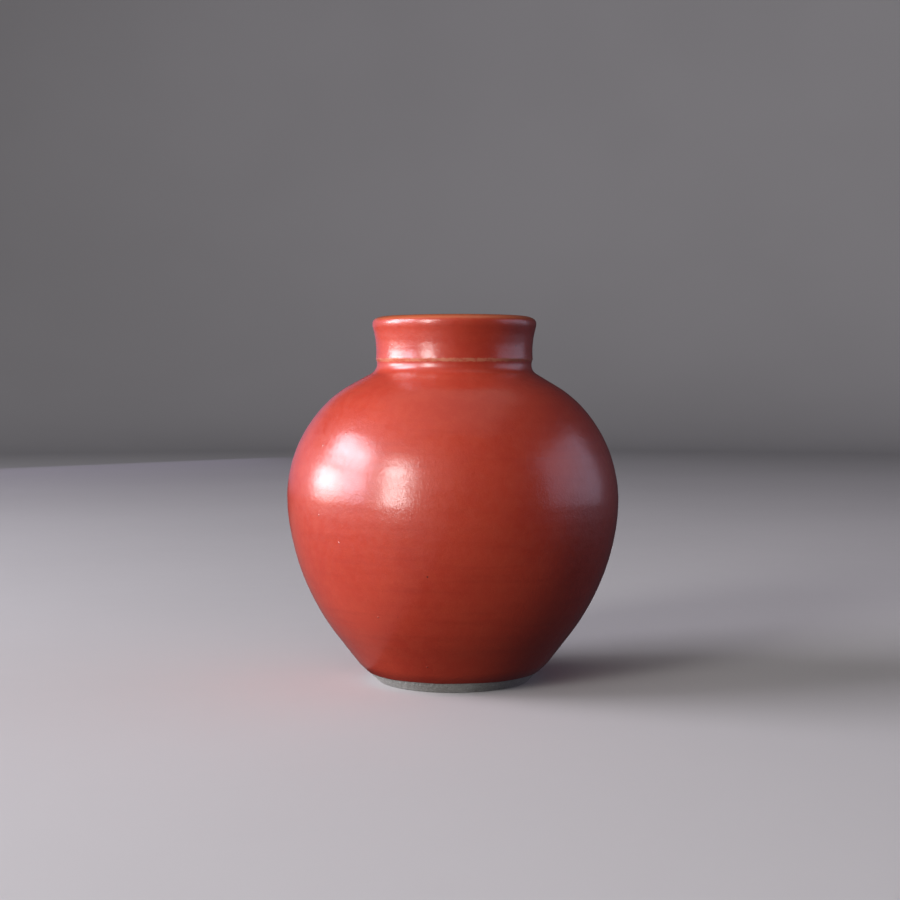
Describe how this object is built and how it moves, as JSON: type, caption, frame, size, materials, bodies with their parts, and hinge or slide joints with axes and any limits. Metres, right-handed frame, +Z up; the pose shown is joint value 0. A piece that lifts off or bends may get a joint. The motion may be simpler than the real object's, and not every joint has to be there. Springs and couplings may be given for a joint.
{
  "type": "ginger jar",
  "caption": "Round-bellied thrown stoneware jar with a short flared neck, rounded lip and bare trimmed foot, glazed inside and out; stands upright and holds stems or dry goods.",
  "frame": {"origin": "centre of the foot, on the surface that the jar stands on", "axes": "+Z up along the jar's axis of rotation; X and Y across, with no preferred direction"},
  "size_m": [0.182, 0.182, 0.2],
  "materials": {
    "bare_stoneware": "fired, unglazed, fine grog and sandy pits",
    "slip": "fired slip, matt",
    "coral_glaze": "satin gloss coral red glaze with a fine orange-peel surface",
    "liner_glaze": "satin gloss coral red liner glaze"
  },
  "bodies": {
    "root": {"stoneware_body": "bare_stoneware", "neck_collar": "bare_stoneware", "luting_slip": "slip", "outer_glaze": "coral_glaze", "inner_glaze": "liner_glaze"}
  },
  "joints": []
}
